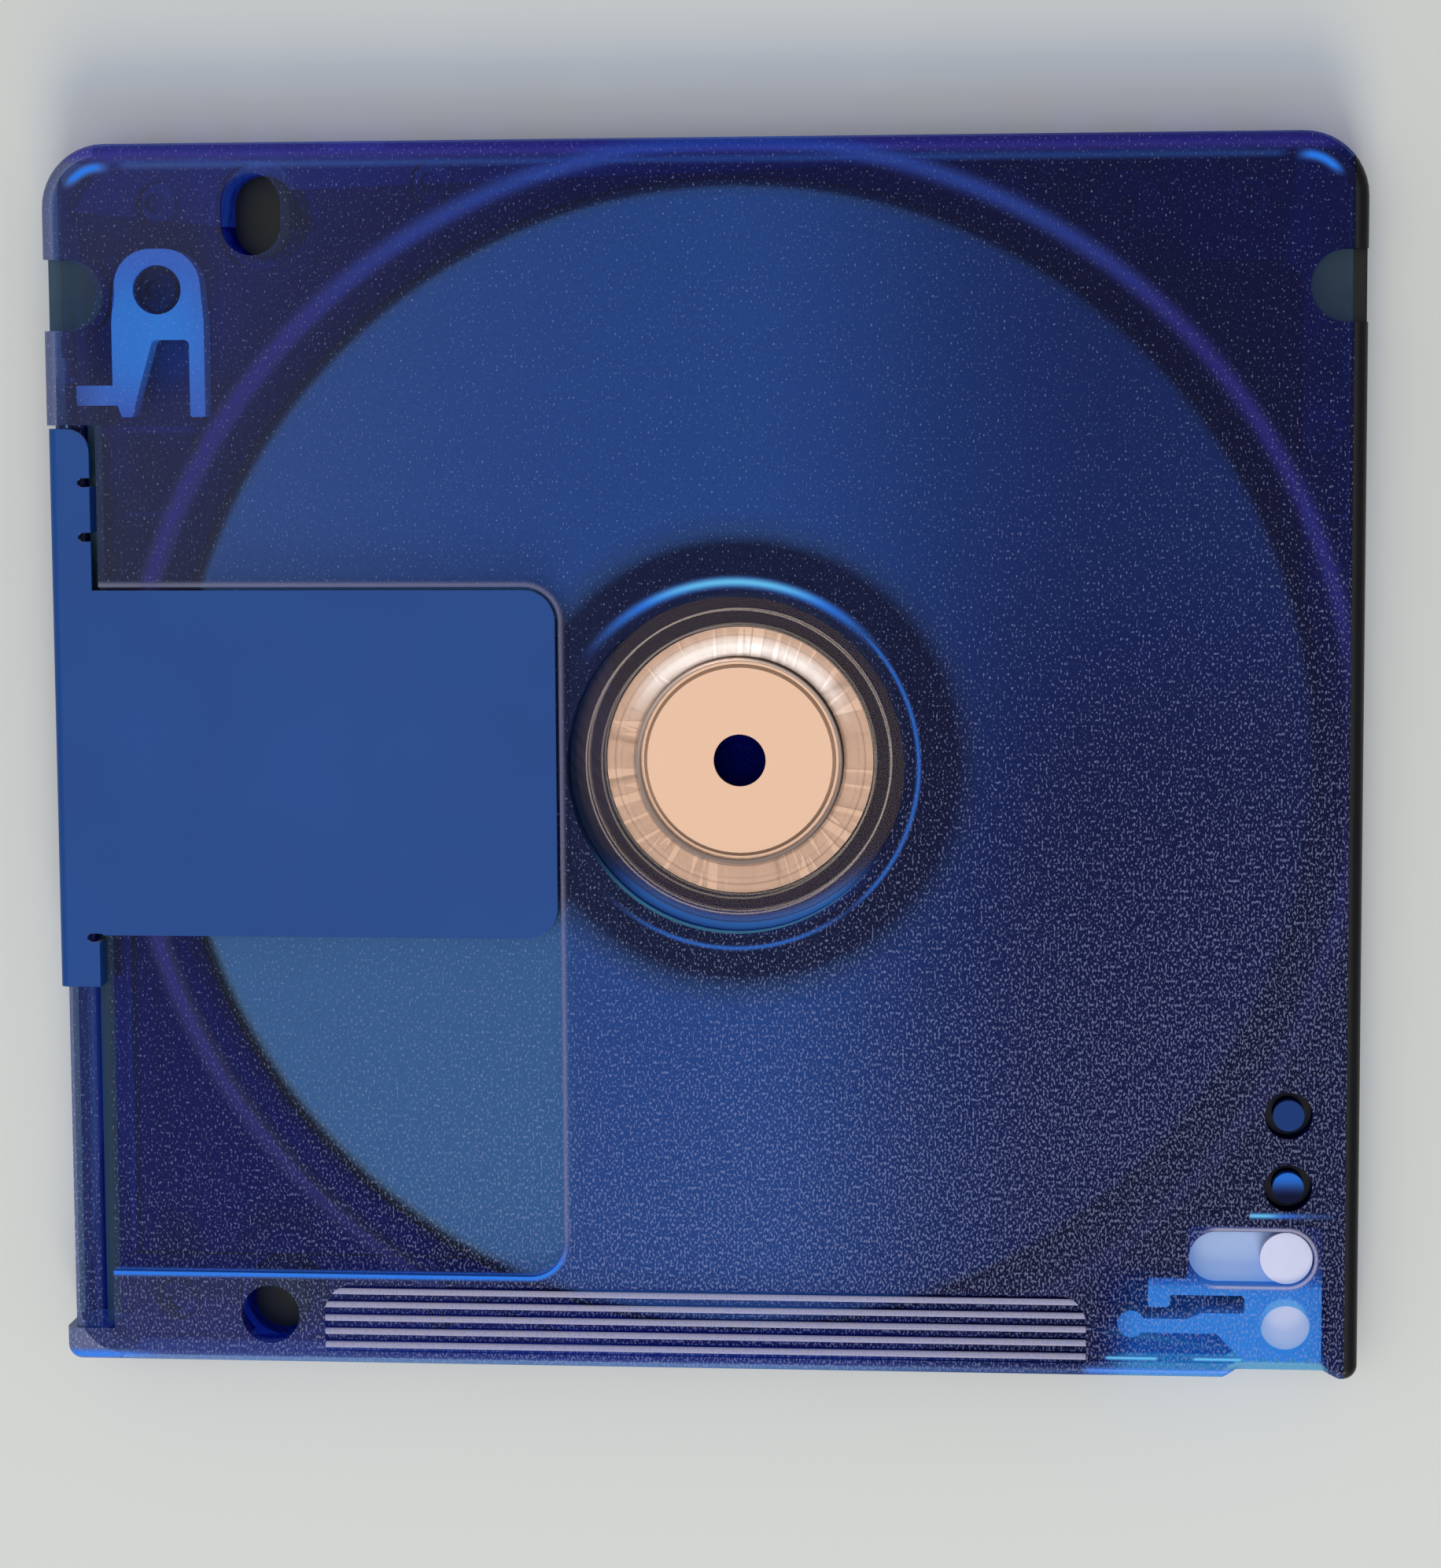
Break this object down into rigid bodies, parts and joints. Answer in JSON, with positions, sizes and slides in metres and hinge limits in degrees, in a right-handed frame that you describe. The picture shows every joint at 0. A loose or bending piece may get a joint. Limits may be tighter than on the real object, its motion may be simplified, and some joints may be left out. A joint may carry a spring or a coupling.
{
  "type": "minidisc cartridge",
  "caption": "Flat recordable disc cartridge in translucent blue plastic with a folded metal shutter on one edge, a clear disc inside and a write-protect slider.",
  "frame": {"origin": "centre of the outline on the label-side face, on which the cartridge lies", "axes": "+Z out of the hub side, +Y towards the end that goes into a player first, +X across the width away from the shutter's folded edge"},
  "size_m": [0.072, 0.068, 0.005],
  "materials": {
    "shell_plastic": "translucent blue, fine mould texture",
    "shutter_paint": "satin blue paint on sheet metal",
    "acetal": "natural white acetal, smooth",
    "disc_plastic": "clear polished plastic with a mirror layer",
    "plate_steel": "warm-toned bright steel, pressed"
  },
  "bodies": {
    "shell": {"label_side_shell": "shell_plastic", "hub_side_shell": "shell_plastic"},
    "shutter": {"shutter": "shutter_paint"},
    "lock_lever": {"shutter_lock_lever": "acetal"},
    "slider": {"write_protect_tab": "acetal"},
    "disc": {"disc": "disc_plastic", "clamping_plate": "plate_steel"}
  },
  "joints": [
    {"name": "shutter_slide", "type": "slide", "parent": "shell", "child": "shutter", "axis": [0, -1, 0], "range_m": [0, 0.0189]},
    {"name": "lock_lever_pivot", "type": "hinge", "parent": "shell", "child": "lock_lever", "pos_m": [-0.0301, 0.0261, 0.002], "axis": [0, 0, 1], "range_deg": [0, 8], "stiffness_Nm_per_rad": 0.0005},
    {"name": "write_protect_slide", "type": "slide", "parent": "shell", "child": "slider", "axis": [-1, 0, 0], "range_m": [0, 0.0038]},
    {"name": "disc_spin", "type": "hinge", "parent": "shell", "child": "disc", "pos_m": [0.002, 0, 0.00235], "axis": [0, 0, 1], "continuous": true}
  ]
}
